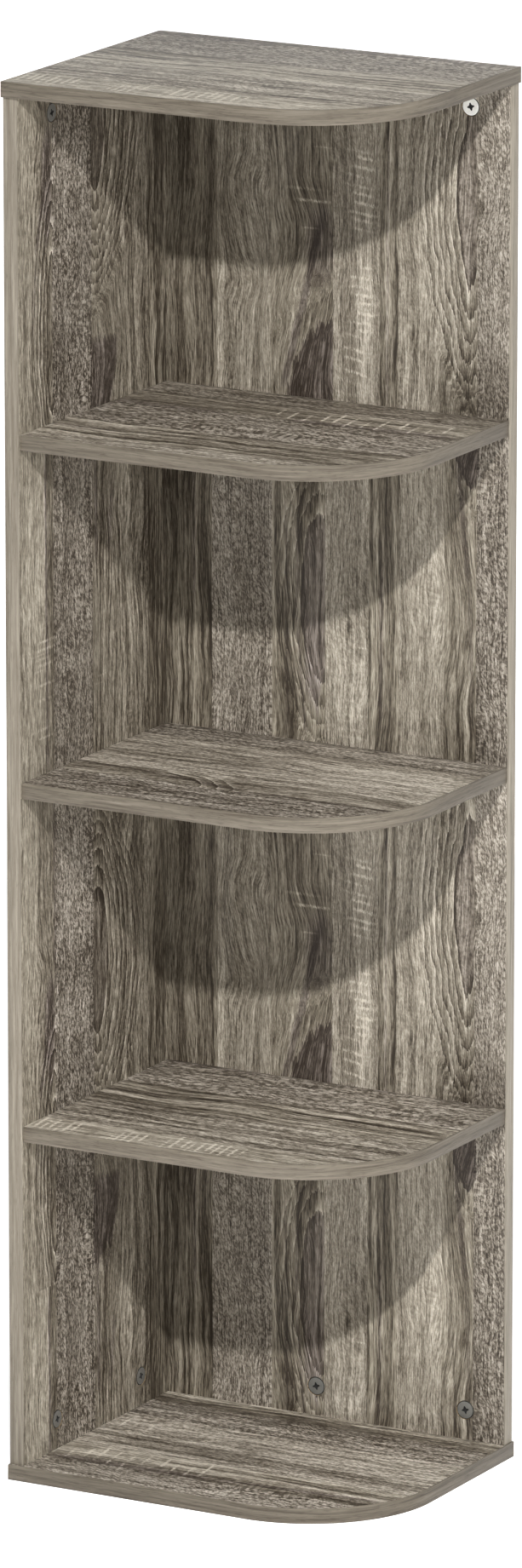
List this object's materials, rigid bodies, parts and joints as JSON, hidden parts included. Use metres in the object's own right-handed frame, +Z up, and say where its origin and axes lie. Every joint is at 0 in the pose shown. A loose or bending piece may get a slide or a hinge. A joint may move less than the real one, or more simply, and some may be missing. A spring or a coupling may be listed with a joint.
{
  "type": "corner shelf unit",
  "caption": "Open corner shelf unit: two upright panels in an L carry round-cornered boards, joined by cam locks, dowels and screws.",
  "frame": {"origin": "middle of the rectangle round the bottom board, on its underside, which is the surface that the unit stands on", "axes": "+X to the right along the back panel, +Y to the rear, towards the wall behind the back panel, +Z up"},
  "size_m": [0.31, 0.24, 1.084],
  "materials": {
    "panel_laminate": "matt rustic grey oak laminate, grain upright",
    "board_laminate": "matt rustic grey oak laminate, grain along the front edge",
    "edge_band": "matt grey oak edge band with fine streaks",
    "zinc_cam": "satin die-cast zinc",
    "steel_fixing": "bright zinc-plated steel",
    "dowel_wood": "plain beech"
  },
  "bodies": {
    "carcass": {"side_panel": "panel_laminate", "back_panel": "panel_laminate", "side_panel_edge_band": "edge_band", "back_panel_edge_band": "edge_band", "bottom_board": "board_laminate", "bottom_board_edge_band": "edge_band", "top_board": "board_laminate", "top_board_edge_band": "edge_band", "shelf_lower": "board_laminate", "shelf_lower_edge_band": "edge_band", "shelf_middle": "board_laminate", "shelf_middle_edge_band": "edge_band", "shelf_upper": "board_laminate", "shelf_upper_edge_band": "edge_band", "cam_bolt_bottom_back_left": "steel_fixing", "cam_bolt_bottom_back_right": "steel_fixing", "cam_bolt_bottom_side_front": "steel_fixing", "cam_bolt_bottom_side_rear": "steel_fixing", "cam_bolt_top_back_left": "steel_fixing", "cam_bolt_top_back_right": "steel_fixing", "cam_bolt_top_side_front": "steel_fixing", "cam_bolt_top_side_rear": "steel_fixing", "dowel_bottom_back_left": "dowel_wood", "dowel_bottom_back_right": "dowel_wood", "dowel_bottom_side_front": "dowel_wood", "dowel_bottom_side_rear": "dowel_wood", "dowel_top_back_left": "dowel_wood", "dowel_top_back_right": "dowel_wood", "dowel_top_side_front": "dowel_wood", "dowel_top_side_rear": "dowel_wood", "screw_shelf_lower_back_left": "steel_fixing", "screw_shelf_lower_back_right": "steel_fixing", "screw_shelf_lower_side_front": "steel_fixing", "screw_shelf_lower_side_rear": "steel_fixing", "screw_shelf_middle_back_left": "steel_fixing", "screw_shelf_middle_back_right": "steel_fixing", "screw_shelf_middle_side_front": "steel_fixing", "screw_shelf_middle_side_rear": "steel_fixing", "screw_shelf_upper_back_left": "steel_fixing", "screw_shelf_upper_back_right": "steel_fixing", "screw_shelf_upper_side_front": "steel_fixing", "screw_shelf_upper_side_rear": "steel_fixing", "screw_corner_1": "steel_fixing", "screw_corner_2": "steel_fixing", "screw_corner_3": "steel_fixing", "screw_corner_4": "steel_fixing"},
    "cam_bottom_back_left": {"cam_lock_bottom_back_left": "zinc_cam"},
    "cam_bottom_back_right": {"cam_lock_bottom_back_right": "zinc_cam"},
    "cam_bottom_side_rear": {"cam_lock_bottom_side_rear": "zinc_cam"},
    "cam_bottom_side_front": {"cam_lock_bottom_side_front": "zinc_cam"},
    "cam_top_back_left": {"cam_lock_top_back_left": "zinc_cam"},
    "cam_top_back_right": {"cam_lock_top_back_right": "zinc_cam"},
    "cam_top_side_rear": {"cam_lock_top_side_rear": "zinc_cam"},
    "cam_top_side_front": {"cam_lock_top_side_front": "zinc_cam"}
  },
  "joints": [
    {"name": "turn_bottom_back_left", "type": "hinge", "parent": "carcass", "child": "cam_bottom_back_left", "pos_m": [-0.01085, 0.1065, 0.0355], "axis": [0, -1, 0], "range_deg": [0, 180]},
    {"name": "turn_bottom_back_right", "type": "hinge", "parent": "carcass", "child": "cam_bottom_back_right", "pos_m": [0.11961, 0.1065, 0.0355], "axis": [0, -1, 0], "range_deg": [0, 180]},
    {"name": "turn_bottom_side_rear", "type": "hinge", "parent": "carcass", "child": "cam_bottom_side_rear", "pos_m": [-0.1425, 0.06439, 0.0355], "axis": [1, 0, 0], "range_deg": [0, 180]},
    {"name": "turn_bottom_side_front", "type": "hinge", "parent": "carcass", "child": "cam_bottom_side_front", "pos_m": [-0.1425, -0.06553, 0.0355], "axis": [1, 0, 0], "range_deg": [0, 180]},
    {"name": "turn_top_back_left", "type": "hinge", "parent": "carcass", "child": "cam_top_back_left", "pos_m": [-0.01085, 0.1065, 1.0525], "axis": [0, -1, 0], "range_deg": [0, 180]},
    {"name": "turn_top_back_right", "type": "hinge", "parent": "carcass", "child": "cam_top_back_right", "pos_m": [0.11961, 0.1065, 1.0525], "axis": [0, -1, 0], "range_deg": [0, 180]},
    {"name": "turn_top_side_rear", "type": "hinge", "parent": "carcass", "child": "cam_top_side_rear", "pos_m": [-0.1425, 0.06439, 1.0525], "axis": [1, 0, 0], "range_deg": [0, 180]},
    {"name": "turn_top_side_front", "type": "hinge", "parent": "carcass", "child": "cam_top_side_front", "pos_m": [-0.1425, -0.06553, 1.0525], "axis": [1, 0, 0], "range_deg": [0, 180]}
  ]
}
